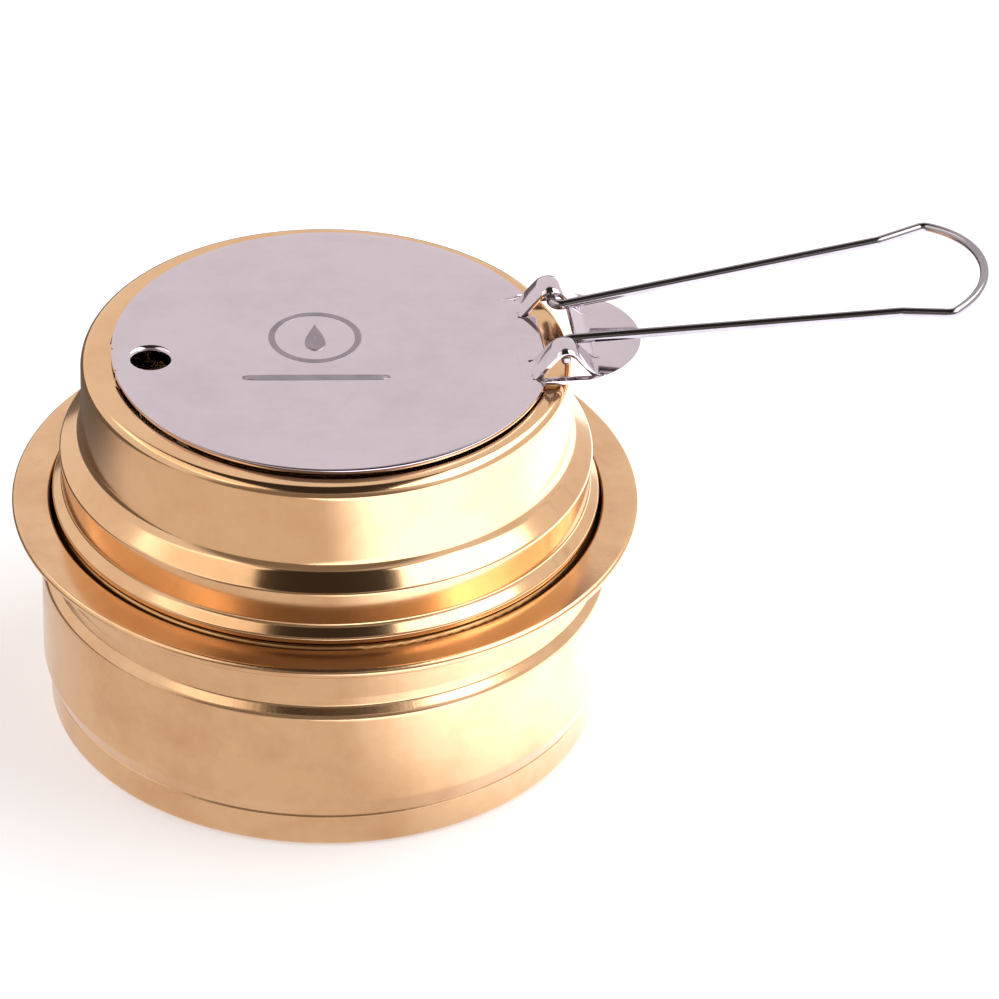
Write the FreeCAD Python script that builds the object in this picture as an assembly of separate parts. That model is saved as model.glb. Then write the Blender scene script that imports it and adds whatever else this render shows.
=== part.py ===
import FreeCAD, Part
import math
import os

# Alcohol spirit stove: a drawn brass burner, its screw cap, and a brass flame regulator
# that carries a swivelling steel lid with a folding wire handle.
# Millimetres. Z is up, the origin is the middle of the base, and the handle points along +X.

V = FreeCAD.Vector
UP = V(0, 0, 1)

# Sheet, wire and running clearances
brass_sheet = 0.6
steel_sheet = 0.5
wire_diameter = 1.2
turning_clearance = 0.08    # radial, between a turning piece and its hole
seat_gap = 0.05             # between pieces that only rest on each other
sweep_gap = 0.35            # under the lid, which swings across the regulator
crease = 0.3                # corner radius of a sharp pressed edge
bend = 0.5                  # corner radius of an ordinary bend
soft_bend = 0.7             # corner radius of a rolled edge

# Fuel cup
cup_radius = 34.5
cup_height = 28.75
foot_inset = 0.9
foot_height = 4.7
foot_corner = 1.0
shoulder_height = 19.4
shoulder_rise = 1.6
neck_inset = 1.1
neck_straight = 1.2         # the crown's skirt is pressed in here
flange_width = 3.5
flange_thickness = 1.2
neck_flare = 1.3
mouth_flare = 0.9
mouth_lip = 0.5             # from the neck's cone to the flange's flat

# Burner crown
ledge_drop = 0.1            # ledge below the flange's top face
crown_skirt_depth = 12.0
crown_step = 3.0            # from the skirt in to the crown's wall
crown_wall_height = 8.2
crown_corner = 1.5
throat_radius = 19.9
throat_depth = 9.4
jet_count = 24
jet_diameter = 1.0
jet_below_top = 2.4

# Inner wall and wick
inner_wall_overlap = 2.2    # pressed up into the throat
notch_count = 4
notch_width = 5.0
notch_height = 3.0
wick_clearance = 0.4
wick_top_below_ledge = 4.5

# Screw cap and its ring seal
cap_rim_width = 3.3
cap_rim_height = 3.0
cap_edge = 0.8
cap_wall = 0.7
cap_skirt_below_crown = 4.1
seal_diameter = 1.3
seal_inset = 0.25           # from the throat to the ring

# Flame regulator
rim_overhang = 0.3          # of the regulator's rim past the crown's skirt
rim_hem = 1.2               # turned in under the rim
rim_height = 1.25
rim_flare = 1.2             # height of the step above the rim
rim_step = 0.9
lower_wall_height = 5.1
lower_wall_taper = 0.6
waist_inset = 2.1
waist_rise = 1.9
waist_bend = 2.2
regulator_height = 19.6
top_corner = 1.3
opening_inset = 3.9
lip_depth = 1.0

# Lid plate
lid_overlap = 0.8           # of the disc past the regulator's opening, in plan
lid_offset = 0.6            # towards the handle, play in the pivot
pivot_from_edge = 4.65
pivot_hole_radius = 2.3
collar_flare = 0.9
collar_draw = 0.6           # radius where the sheet turns down into the collar
tongue_margin = 1.9         # brass around the pivot hole
washer_thickness = 0.35
washer_width = 1.5
tab_half_width = 9.75
tab_reach = 10.8            # beyond the disc's edge
tab_root = 6.5              # of the tab, inside the disc's edge
nose_extra = 0.4            # nose radius past the tab's half width
window_start = 1.2          # of the tab's window, inside the disc's edge
window_length = 3.9
bridge_inner = 5.0
bridge_width = 3.85
bridge_clearance = 0.4      # over the wire's pins
bridge_half_span = 3.7
bridge_crest_radius = 1.9
bridge_foot = 1.0           # flat strip at each end of a bridge
bridge_root_radius = 0.8
rest_ridge_length = 1.9
rest_ridge_foot = 0.6

# Wire handle
hinge_from_edge = 0.7       # beyond the disc's edge
hinge_above_lid = 1.95
pin_half_span = 8.3
pin_bend_radius = 1.2
arm_gap = 0.3               # sideways, between the arms and the bridges
arm_run = 40.5
arm_spread = 8.05
kink_bend = 2.5             # where the arms turn out to the shoulders
shoulder_run = 46.4
shoulder_bend = 1.3         # where the bow's arc starts
bow_radius = 11.6
bow_turn_deg = 54.8         # of the bow's arc, each side of its middle
handle_length = 51.9
handle_rise_deg = 6.0

# Heights and radii that follow from the sizes above
foot_radius = cup_radius - foot_inset
neck_radius = cup_radius - neck_inset
neck_bore = neck_radius - brass_sheet
flange_radius = cup_radius + flange_width
ledge_height = cup_height - ledge_drop
crown_radius = neck_bore - crown_step
crown_top = ledge_height + crown_wall_height
throat_bottom = crown_top - throat_depth
rim_radius = neck_bore + rim_overhang
rim_bottom = ledge_height + seat_gap
lower_wall_radius = rim_radius - rim_step
crest_radius = lower_wall_radius - lower_wall_taper
band_radius = crest_radius - waist_inset
regulator_top = rim_bottom + regulator_height
opening_radius = band_radius - opening_inset
lid_bottom = regulator_top + sweep_gap
lid_top = lid_bottom + steel_sheet
disc_radius = opening_radius + lid_overlap
pivot_x = lid_offset - disc_radius + pivot_from_edge
disc_edge_x = lid_offset + disc_radius
hinge_x = disc_edge_x + hinge_from_edge
hinge_z = lid_top + hinge_above_lid
bridge_rise = hinge_above_lid + wire_diameter / 2 + bridge_clearance + steel_sheet
window_x = disc_edge_x - window_start
ridge_x = window_x + window_length
handle_slope = math.radians(handle_rise_deg)
arm_underside = (hinge_above_lid + (ridge_x - hinge_x) * math.tan(handle_slope)
                 - wire_diameter / 2 / math.cos(handle_slope))
rest_ridge_rise = arm_underside - 1.5 * seat_gap
collar_radius = pivot_hole_radius + steel_sheet
washer_top = regulator_top - brass_sheet - seat_gap
collar_bottom = washer_top - washer_thickness - seat_gap


def rounded_wire(corners, closed=True, at=lambda a, b: V(a, 0, b)):
    """Wire through (a, b, radius) corners, each turned with an arc of its own radius."""
    points = [at(a, b) for a, b, _ in corners]
    count = len(points)
    starts, ends, arcs = [], [], []
    for i, point in enumerate(points):
        radius = corners[i][2]
        inner = closed or 0 < i < count - 1
        if not (radius and inner):
            starts.append(point)
            ends.append(point)
            arcs.append(None)
            continue
        back = (points[i - 1] - point).normalize()
        ahead = (points[(i + 1) % count] - point).normalize()
        half_turn = (math.pi - back.getAngle(ahead)) / 2
        cut = radius * math.tan(half_turn)
        toward_middle = (back + ahead).normalize()
        middle = point + toward_middle * (radius / math.cos(half_turn) - radius)
        starts.append(point + back * cut)
        ends.append(point + ahead * cut)
        arcs.append(Part.Arc(starts[i], middle, ends[i]).toShape())
    edges = []
    for i in range(count):
        if arcs[i]:
            edges.append(arcs[i])
        if closed or i < count - 1:
            following = starts[(i + 1) % count]
            if (following - ends[i]).Length > 1e-6:
                edges.append(Part.LineSegment(ends[i], following).toShape())
    return Part.Wire(edges)


def offset_corners(corners, thickness):
    """The same path moved to its left by the thickness, with its arcs kept concentric."""
    moved = []
    for i, (a, b, radius) in enumerate(corners):
        runs = []
        for j in (i - 1, i):
            if 0 <= j < len(corners) - 1:
                run = V(corners[j + 1][0] - corners[j][0], corners[j + 1][1] - corners[j][1], 0)
                runs.append(run.normalize())
        normals = [V(-run.y, run.x, 0) for run in runs]
        shift = normals[0]
        if len(normals) == 2:
            shift = (normals[0] + normals[1]) * (1 / (1 + normals[0].dot(normals[1])))
            turns_left = runs[0].cross(runs[1]).z > 0
            radius = max(radius + (-thickness if turns_left else thickness), 0) if radius else 0
        moved.append((a + shift.x * thickness, b + shift.y * thickness, radius))
    return moved


def sheet_outline(corners, thickness):
    """Closed outline of a bent sheet whose face follows the corners, wall to the left."""
    return corners + offset_corners(corners, thickness)[::-1]


def turned(corners):
    """Solid of revolution about Z of a closed (radius, height, corner radius) outline."""
    return Part.Face(rounded_wire(corners)).revolve(V(0, 0, 0), UP, 360)


def tube(outer, inner, bottom, top):
    """Plain round tube standing on Z."""
    solid = Part.makeCylinder(outer, top - bottom, V(0, 0, bottom))
    return solid.cut(Part.makeCylinder(inner, top - bottom, V(0, 0, bottom)))


def block(x0, x1, y0, y1, z0, z1):
    """Box between two corners."""
    return Part.makeBox(x1 - x0, y1 - y0, z1 - z0, V(x0, y0, z0))


def around_z(shape, count):
    """Copies of a shape spread evenly round Z."""
    copies = []
    for i in range(count):
        copy = shape.copy()
        copy.rotate(V(0, 0, 0), UP, 360 * i / count)
        copies.append(copy)
    return copies


def fuel_cup():
    """Drawn cup with an inset foot, a shoulder below the neck, and a hemmed flange."""
    shoulder_top = shoulder_height + shoulder_rise
    neck_top = cup_height - flange_thickness
    outside = [
        (0, 0, 0),
        (foot_radius, 0, foot_corner),
        (foot_radius, foot_height, crease),
        (cup_radius, foot_height + foot_inset / 2, crease),
        (cup_radius, shoulder_height, bend),
        (neck_radius, shoulder_top, bend),
        (neck_radius, shoulder_top + neck_straight, 2 * bend),
        (neck_radius + mouth_flare, neck_top, neck_flare),
    ]
    flange = [
        (flange_radius, neck_top, 0.49 * flange_thickness),
        (flange_radius, cup_height, 0.49 * flange_thickness),
        (neck_bore + mouth_flare + mouth_lip, cup_height, bend),
    ]
    inside = offset_corners(outside, brass_sheet)
    return turned(outside + flange + inside[::-1])


def burner_crown():
    """Inner shell: skirt pressed in the neck, ledge, wall with jets, and threaded throat."""
    shell = turned(sheet_outline([
        (neck_bore, ledge_height - crown_skirt_depth, 0),
        (neck_bore, ledge_height, soft_bend),
        (crown_radius, ledge_height, soft_bend),
        (crown_radius, crown_top, crown_corner),
        (throat_radius, crown_top, soft_bend),
        (throat_radius, throat_bottom, 0),
    ], brass_sheet))
    start = V(crown_radius - 2 * brass_sheet, 0, crown_top - jet_below_top)
    jet = Part.makeCylinder(jet_diameter / 2, 3 * brass_sheet, start, V(1, 0, 0))
    jet.rotate(V(0, 0, 0), UP, 180 / jet_count)
    return shell.cut(around_z(jet, jet_count))


def inner_wall():
    """Tube from the cup's floor up into the throat, notched at its foot for the fuel."""
    wall = tube(throat_radius, throat_radius - brass_sheet, brass_sheet,
                throat_bottom + inner_wall_overlap)
    notch = block(throat_radius - 3 * brass_sheet, throat_radius + brass_sheet,
                  -notch_width / 2, notch_width / 2, 0, brass_sheet + notch_height)
    return wall.cut(around_z(notch, notch_count))


def wick():
    """Cotton wick packed between the inner wall and the crown's skirt."""
    return tube(neck_bore - brass_sheet - wick_clearance,
                throat_radius + brass_sheet + wick_clearance,
                brass_sheet, ledge_height - wick_top_below_ledge)


def screw_cap():
    """Cap whose skirt turns in the throat and whose rim closes on the ring seal."""
    skirt = throat_radius - turning_clearance
    bore = skirt - cap_wall
    rim_under = crown_top + seal_diameter + 2 * seat_gap
    rim_top = rim_under + cap_rim_height
    return turned([
        (0, rim_top, 0),
        (throat_radius + cap_rim_width, rim_top, cap_edge),
        (throat_radius + cap_rim_width, rim_under, crease),
        (skirt, rim_under, crease / 2),
        (skirt, crown_top - cap_skirt_below_crown, 0),
        (bore, crown_top - cap_skirt_below_crown, 0),
        (bore, rim_top - cap_wall, bend),
        (0, rim_top - cap_wall, 0),
    ])


def cap_seal():
    """Rubber ring between the crown's top and the cap's rim."""
    ring_radius = throat_radius + seal_inset + seal_diameter
    middle = crown_top + seat_gap + seal_diameter / 2
    return Part.makeTorus(ring_radius, seal_diameter / 2, V(0, 0, middle))


def regulator_ring():
    """Spun ring: rim, tapered wall, waist, band and top, with a tongue for the lid's pivot."""
    step_top = rim_bottom + rim_height + rim_flare
    crest = step_top + lower_wall_height
    ring = turned(sheet_outline([
        (rim_radius - rim_hem, rim_bottom, 0),
        (rim_radius, rim_bottom, soft_bend),
        (rim_radius, rim_bottom + rim_height, bend),
        (lower_wall_radius, step_top, soft_bend),
        (crest_radius, crest, soft_bend),
        (band_radius, crest + waist_rise, waist_bend),
        (band_radius, regulator_top, top_corner),
        (opening_radius, regulator_top, soft_bend),
        (opening_radius, regulator_top - lip_depth, 0),
    ], brass_sheet))
    hole_radius = collar_radius + turning_clearance
    width = hole_radius + tongue_margin
    tongue = block(-opening_radius - opening_inset / 2, pivot_x, -width, width,
                   regulator_top - brass_sheet, regulator_top)
    tongue = tongue.fuse(Part.makeCylinder(width, brass_sheet,
                                           V(pivot_x, 0, regulator_top - brass_sheet)))
    notch = block(-opening_radius - brass_sheet - 0.1, pivot_x, -width, width,
                  regulator_top - lip_depth - 0.1, regulator_top - brass_sheet)
    hole = Part.makeCylinder(hole_radius, lip_depth + 1, V(pivot_x, 0, regulator_top - lip_depth))
    return ring.cut(notch).fuse(tongue).cut(hole).removeSplitter()


def lid_blank():
    """Flat disc with the hinge tab, before it is pierced and formed."""
    disc = Part.makeCylinder(disc_radius, steel_sheet, V(lid_offset, 0, lid_bottom))
    tip = disc_edge_x + tab_reach
    nose_radius = tab_half_width + nose_extra
    neck = block(disc_edge_x - tab_root, tip - nose_radius, -tab_half_width, tab_half_width,
                 lid_bottom, lid_top)
    nose = Part.makeCylinder(nose_radius, steel_sheet, V(tip - nose_radius, 0, lid_bottom))
    nose = nose.common(block(tip - nose_radius - 1, tip + 1, -tab_half_width, tab_half_width,
                             lid_bottom, lid_top))
    return disc.fuse([neck, nose])


def bent_strip(corners, thickness, y0, y1):
    """Sheet bent along a path in the XZ plane and as wide as y0 to y1."""
    outline = rounded_wire(sheet_outline(corners, thickness), at=lambda a, b: V(a, y0, b))
    return Part.Face(outline).extrude(V(0, y1 - y0, 0))


def lid_plate():
    """Steel lid: disc, drawn pivot collar, hinge tab with two bridges and a rest ridge."""
    blank = lid_blank()
    foot = bridge_half_span + bridge_foot
    for y0 in (bridge_inner, -bridge_inner - bridge_width):
        y1 = y0 + bridge_width
        slope = math.atan2(bridge_rise, bridge_half_span - bridge_crest_radius / 2)
        crest = bridge_rise + bridge_crest_radius * (1 / math.cos(slope) - 1)
        bridge = bent_strip([
            (hinge_x + foot, lid_top, 0),
            (hinge_x + bridge_half_span, lid_top, bridge_root_radius),
            (hinge_x, lid_top + crest, bridge_crest_radius),
            (hinge_x - bridge_half_span, lid_top, bridge_root_radius),
            (hinge_x - foot, lid_top, 0),
        ], steel_sheet, y0, y1)
        slot = block(hinge_x - foot, hinge_x + foot, y0, y1, lid_bottom - 1, lid_top + 1)
        blank = blank.cut(slot).fuse(bridge)
    window = block(window_x, ridge_x + rest_ridge_length, -bridge_inner, bridge_inner,
                   lid_bottom - 1, lid_top + 1)
    ridge = bent_strip([
        (ridge_x + rest_ridge_length + rest_ridge_foot, lid_top, 0),
        (ridge_x + rest_ridge_length, lid_top, 2 * bend),
        (ridge_x, lid_top + rest_ridge_rise, 0),
    ], steel_sheet, seat_gap - bridge_inner, bridge_inner - seat_gap)
    flare_radius = collar_radius + collar_flare
    flare_bottom = collar_bottom - steel_sheet
    seat_radius = collar_radius + collar_draw
    flared = turned([
        (pivot_hole_radius, lid_top, collar_draw),
        (pivot_hole_radius, flare_bottom, crease),
        (flare_radius, flare_bottom, crease / 2),
        (flare_radius, collar_bottom, crease / 2),
        (collar_radius, collar_bottom, 0),
        (collar_radius, lid_bottom, 0),
        (seat_radius, lid_bottom, 0),
        (seat_radius, lid_top, 0),
    ])
    flared.translate(V(pivot_x, 0, 0))
    pierce = Part.makeCylinder(seat_radius, 3, V(pivot_x, 0, lid_bottom - 1))
    return blank.cut([window, pierce]).fuse([ridge, flared]).removeSplitter()


def wave_washer():
    """Spring washer between the tongue and the collar's flare."""
    inner = collar_radius + turning_clearance
    washer = tube(inner + washer_width, inner, washer_top - washer_thickness, washer_top)
    washer.translate(V(pivot_x, 0, 0))
    return washer


def wire_handle():
    """One bent wire: pins under the bridges, spreading arms and a round bow."""
    bow_turn = math.radians(bow_turn_deg)
    bow_corner = bow_radius * math.tan(bow_turn / 2)
    shoulder = bow_corner + (handle_length - shoulder_run) / math.tan(bow_turn)
    bridge_end = bridge_half_span * math.cos(handle_slope)
    arm_at_bridge_end = bridge_inner - arm_gap - wire_diameter / 2
    arm_root = arm_at_bridge_end - (arm_spread - arm_at_bridge_end) * bridge_end / (arm_run - bridge_end)
    half = [
        (0, pin_half_span, 0),
        (0, arm_root, pin_bend_radius),
        (arm_run, arm_spread, kink_bend),
        (shoulder_run, shoulder, shoulder_bend),
        (handle_length, bow_corner, 0.998 * bow_radius),
    ]
    corners = half + [(a, -b, radius) for a, b, radius in half[::-1]]
    path = rounded_wire(corners, False, lambda a, b: V(hinge_x + a, b, hinge_z))
    pin_end = V(hinge_x, pin_half_span, hinge_z)
    section = Part.Wire(Part.makeCircle(wire_diameter / 2, pin_end, V(0, 1, 0)))
    wire = path.makePipeShell([section], True, False)
    wire.rotate(V(hinge_x, 0, hinge_z), V(0, -1, 0), handle_rise_deg)
    return wire


PIECES = {
    "fuel_cup": fuel_cup,
    "burner_crown": burner_crown,
    "inner_wall": inner_wall,
    "wick": wick,
    "screw_cap": screw_cap,
    "cap_seal": cap_seal,
    "regulator_ring": regulator_ring,
    "lid_plate": lid_plate,
    "wave_washer": wave_washer,
    "wire_handle": wire_handle,
}

os.makedirs("parts", exist_ok=True)
for name, make in PIECES.items():
    solid = make()
    box = solid.BoundBox
    print(f"{name:16s} valid {solid.isValid()} solids {len(solid.Solids)} volume {solid.Volume:9.1f}",
          f"x {box.XMin:.2f}..{box.XMax:.2f} y {box.YMin:.2f}..{box.YMax:.2f}",
          f"z {box.ZMin:.2f}..{box.ZMax:.2f}")
    solid.exportStep(f"parts/{name}.step")
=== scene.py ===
"""Looks of a brass spirit stove: burner, flame regulator, steel lid and folding wire handle."""

import logging
import math
from collections.abc import Callable
from dataclasses import dataclass
from enum import Enum

import bmesh
import bpy
import numpy as np
from mathutils import Matrix, Vector

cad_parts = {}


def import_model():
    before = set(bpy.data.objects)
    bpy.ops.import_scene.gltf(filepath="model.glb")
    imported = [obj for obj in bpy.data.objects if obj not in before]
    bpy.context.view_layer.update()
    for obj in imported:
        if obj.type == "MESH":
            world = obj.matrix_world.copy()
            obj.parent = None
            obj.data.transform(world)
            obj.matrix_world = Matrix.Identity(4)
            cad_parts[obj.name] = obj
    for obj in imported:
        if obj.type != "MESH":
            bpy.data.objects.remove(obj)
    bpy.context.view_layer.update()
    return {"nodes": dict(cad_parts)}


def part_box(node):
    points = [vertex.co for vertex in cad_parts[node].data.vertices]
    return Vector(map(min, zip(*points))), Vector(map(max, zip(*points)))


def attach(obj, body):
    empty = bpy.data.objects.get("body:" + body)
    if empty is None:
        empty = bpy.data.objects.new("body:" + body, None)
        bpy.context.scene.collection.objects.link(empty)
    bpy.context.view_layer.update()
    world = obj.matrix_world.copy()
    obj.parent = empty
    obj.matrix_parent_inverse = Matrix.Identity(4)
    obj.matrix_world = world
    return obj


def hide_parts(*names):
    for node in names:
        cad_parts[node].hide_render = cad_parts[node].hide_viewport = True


LOG = logging.getLogger("spirit_stove")
MM = 0.001
SHARP_ANGLE = math.radians(38)
EDGE_ANGLE = math.radians(50)
MERGE_DISTANCE = 0.002
COLLAPSE_DISTANCE = 0.001
SMOOTH_STEP = {"interpolation_type": "SMOOTHSTEP"}
Corner = tuple[float, float, float]
Colour = tuple[float, float, float, float] | bpy.types.NodeSocket
Relief = Callable[[np.ndarray, np.ndarray, np.ndarray], np.ndarray]


# ---------------------------------------------------------------- outlines


def offset_corners(corners: list[Corner], thickness: float) -> list[Corner]:
    """Move a path to its left by a sheet's thickness, with its arcs kept concentric.

    Args:
        corners: (a, b, radius) corners of an open path, in mm.
        thickness: how far to the left the new path lies, in mm.

    Returns:
        The corners of the moved path, in the same order.
    """
    plan = np.array([corner[:2] for corner in corners])
    runs = np.diff(plan, axis=0)
    runs /= np.linalg.norm(runs, axis=1)[:, None]
    before = np.vstack([runs[:1], runs])
    after = np.vstack([runs, runs[-1:]])
    left_before = np.column_stack([-before[:, 1], before[:, 0]])
    left_after = np.column_stack([-after[:, 1], after[:, 0]])
    share = 1 + (left_before * left_after).sum(1)
    moved = plan + thickness * (left_before + left_after) / share[:, None]
    turn = before[:, 0] * after[:, 1] - before[:, 1] * after[:, 0]
    radii = np.array([corner[2] for corner in corners])
    grown = np.maximum(radii - np.sign(turn) * thickness, 0)
    radii = np.where(radii > 0, grown, 0)
    return [(float(a), float(b), float(r)) for (a, b), r in zip(moved, radii)]


def sheet_outline(corners: list[Corner], thickness: float) -> list[Corner]:
    """Close a bent sheet's face path with its other face, the wall lying to the left."""
    return corners + offset_corners(corners, thickness)[::-1]


def rounded_line(
    corners: list[Corner], closed: bool, step: float = 0.8, turn_step: float = 5.0
) -> np.ndarray:
    """Sample a cornered path whose corners are circular arcs.

    Each corner's arc is the circle of its radius tangent to both runs; a run between two
    arcs is cut into even parts, with one more short part at each end so that the shading
    of the flat starts right beside the arc.

    Args:
        corners: (a, b, radius) corners, in mm.
        closed: whether the last corner joins the first.
        step: longest part of a straight run, in mm.
        turn_step: largest turn from one point of an arc to the next, in degrees.

    Returns:
        The points of the path as an (n, 2) array, in mm.
    """
    plan = np.array([corner[:2] for corner in corners])
    count = len(plan)
    starts, ends, arcs = plan.copy(), plan.copy(), [None] * count
    for i, (_, _, radius) in enumerate(corners):
        if radius <= 0 or (not closed and i in (0, count - 1)):
            continue
        back = plan[i - 1] - plan[i]
        ahead = plan[(i + 1) % count] - plan[i]
        back, ahead = back / np.linalg.norm(back), ahead / np.linalg.norm(ahead)
        turn = math.pi - math.acos(float(np.clip(back @ ahead, -1, 1)))
        if turn < 1e-4:
            continue
        cut = radius * math.tan(turn / 2)
        starts[i], ends[i] = plan[i] + back * cut, plan[i] + ahead * cut
        middle = (back + ahead) / np.linalg.norm(back + ahead)
        centre = plan[i] + middle * radius / math.cos(turn / 2)
        spoke, away = starts[i] - centre, -back
        parts = max(3, math.ceil(math.degrees(turn) / turn_step))
        angle = np.linspace(0, turn, parts + 1)[:, None]
        arcs[i] = centre + spoke * np.cos(angle) + away * radius * np.sin(angle)
    pieces = []
    for i in range(count):
        pieces.append(plan[i : i + 1] if arcs[i] is None else arcs[i])
        if closed or i < count - 1:
            start, end = ends[i], starts[(i + 1) % count]
            length = float(np.linalg.norm(end - start))
            if length > 0.3:
                parts = max(1, math.ceil(length / step))
                edge = min(0.06, 0.2 * length) / length
                inside = np.linspace(edge, 1 - edge, parts + 1)[:, None]
                pieces.append(start + (end - start) * inside)
    line = np.vstack(pieces)
    keep = np.ones(len(line), bool)
    keep[1:] = np.linalg.norm(np.diff(line, axis=0), axis=1) > 1e-6
    if closed and np.linalg.norm(line[0] - line[-1]) < 1e-6:
        keep[-1] = False
    return line[keep]


# ---------------------------------------------------------------- surfaces


@dataclass
class Surface:
    """Vertices in mm and faces by index, before they become a mesh."""

    points: np.ndarray
    faces: list[np.ndarray]

    def joined(self, other: "Surface") -> "Surface":
        """Both surfaces as one, without merging any vertex."""
        moved = [block + len(self.points) for block in other.faces]
        return Surface(np.vstack([self.points, other.points]), self.faces + moved)

    def upwards(self) -> "Surface":
        """Turn the faces over if most of them face down.

        Returns:
            The same surface, or one with every face reversed.
        """
        first, second, third = (self.points[self.faces[0][:, k]][:, :2] for k in (0, 1, 2))
        side, far = second - first, third - first
        facing = float((side[:, 0] * far[:, 1] - side[:, 1] * far[:, 0]).sum())
        return self if facing > 0 else Surface(self.points, [f[:, ::-1] for f in self.faces])


def grid_faces(rows: int, columns: int, wrap_rows: bool, wrap_columns: bool) -> np.ndarray:
    """Quads of a grid of vertices numbered row by row, joined round where it wraps.

    Args:
        rows: rows of vertices.
        columns: vertices in a row.
        wrap_rows: whether the last row joins the first.
        wrap_columns: whether each row's end joins its start.

    Returns:
        The faces as an (n, 4) array of indices.
    """
    row = np.arange(rows if wrap_rows else rows - 1)[:, None]
    column = np.arange(columns if wrap_columns else columns - 1)[None, :]
    next_row, next_column = (row + 1) % rows, (column + 1) % columns
    corners = [
        row * columns + column,
        row * columns + next_column,
        next_row * columns + next_column,
        next_row * columns + column,
    ]
    return np.stack([np.broadcast_to(c, (len(row), column.size)).ravel() for c in corners], 1)


def loft(loops: np.ndarray, wrap_rows: bool, wrap_columns: bool) -> Surface:
    """Surface through loops of points: row i of the grid is loop i."""
    rows, columns = loops.shape[:2]
    return Surface(loops.reshape(-1, 3), [grid_faces(rows, columns, wrap_rows, wrap_columns)])


@dataclass(frozen=True)
class Waviness:
    """Slow radial error that drawing or spinning leaves in a round wall, in mm."""

    depth: float = 0.012
    lobes: tuple[int, ...] = (2, 3, 5, 8)
    seed: int = 1

    def at(self, turn: np.ndarray, height: np.ndarray) -> np.ndarray:
        """Sum of cosines round the axis whose phase drifts with the height.

        Args:
            turn: angles round Z.
            height: heights, in mm.

        Returns:
            The radial error there, in mm.
        """
        rng = np.random.default_rng(self.seed)
        total = np.zeros(np.broadcast(turn, height).shape)
        for lobe in self.lobes:
            phase, drift = rng.uniform(0, 2 * math.pi), rng.uniform(-0.12, 0.12)
            total = total + np.cos(lobe * turn + phase + drift * height) / lobe
        return self.depth * total


def revolved(
    line: np.ndarray,
    segments: int = 256,
    closed: bool = True,
    waviness: Waviness | None = None,
    relief: Relief | None = None,
) -> Surface:
    """Turn a (radius, height) line about Z.

    A point of the surface is (r cos t, r sin t, z), where r is the line's radius plus the
    waviness and the relief at that turn t. A line that ends on the axis is closed there
    with a fan.

    Args:
        line: (n, 2) radii and heights, in mm.
        segments: steps round the axis.
        closed: whether the line's end joins its start.
        waviness: slow radial error, or None.
        relief: function of (turn, radius, height) that gives more radius, or None.

    Returns:
        The surface.
    """
    on_axis = not closed and line[0, 0] < 1e-6
    ends_on_axis = not closed and line[-1, 0] < 1e-6
    body = line[int(on_axis) : len(line) - int(ends_on_axis)]
    turn = np.arange(segments)[None, :] * (2 * math.pi / segments)
    radius, height = body[:, :1], body[:, 1:]
    reach = np.broadcast_to(radius, (len(body), segments)).copy()
    if waviness is not None:
        reach += waviness.at(turn, height)
    if relief is not None:
        reach += relief(turn, radius, height)
    loops = np.stack(
        [reach * np.cos(turn), reach * np.sin(turn), np.broadcast_to(height, reach.shape)], 2
    )
    surface = loft(loops, closed, True)
    ring = np.arange(segments)
    for wanted, row, point in ((on_axis, 0, line[0]), (ends_on_axis, len(body) - 1, line[-1])):
        if not wanted:
            continue
        pole = len(surface.points)
        surface.points = np.vstack([surface.points, [[0, 0, point[1]]]])
        first, second = row * segments + ring, row * segments + (ring + 1) % segments
        fan = [second, first] if row == 0 else [first, second]
        surface.faces.append(np.stack([*fan, np.full(segments, pole)], 1))
    return surface


def swept(path: np.ndarray, radius: float, sides: int = 28, cap_rows: int = 5) -> Surface:
    """Carry a circle along a path, with domed ends.

    The circle's plane stays square to the path. Its first axis is carried from one point to
    the next by taking away the part that lies along the path, so it does not twist.

    Args:
        path: (n, 3) centre line, in mm.
        radius: of the circle, in mm.
        sides: points round the circle.
        cap_rows: rows of each domed end.

    Returns:
        The closed surface.
    """
    along = np.gradient(path, axis=0)
    along /= np.linalg.norm(along, axis=1)[:, None]
    side = np.zeros_like(path)
    carried = np.array([0.0, 0.0, 1.0])
    for i, direction in enumerate(along):
        carried = carried - direction * (carried @ direction)
        carried /= np.linalg.norm(carried)
        side[i] = carried
    up = np.cross(along, side)
    dome = np.linspace(math.pi / 2, 0, cap_rows, endpoint=False)
    flat = 0.35
    ends = []
    for index, sign in ((0, -1.0), (-1, 1.0)):
        centres = path[index] + sign * along[index] * radius * flat * np.sin(dome)[:, None]
        ends.append((centres, radius * np.cos(dome), index))
    centres = np.vstack([ends[0][0], path, ends[1][0][::-1]])
    radii = np.concatenate([ends[0][1], np.full(len(path), radius), ends[1][1][::-1]])
    first = np.vstack([np.repeat(side[:1], cap_rows, 0), side, np.repeat(side[-1:], cap_rows, 0)])
    second = np.vstack([np.repeat(up[:1], cap_rows, 0), up, np.repeat(up[-1:], cap_rows, 0)])
    turn = np.arange(sides) * (2 * math.pi / sides)
    loops = centres[:, None] + radii[:, None, None] * (
        first[:, None] * np.cos(turn)[None, :, None] + second[:, None] * np.sin(turn)[None, :, None]
    )
    return loft(loops, False, True)


# ---------------------------------------------------------------- finishes


def linear(colour: str) -> tuple[float, float, float, float]:
    """Linear RGBA of an sRGB hex colour.

    Args:
        colour: "#RRGGBB".

    Returns:
        Red, green, blue and an alpha of 1.
    """
    values = [int(colour[i : i + 2], 16) / 255 for i in (1, 3, 5)]
    curve = [v / 12.92 if v <= 0.04045 else ((v + 0.055) / 1.055) ** 2.4 for v in values]
    return (*curve, 1.0)


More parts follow.
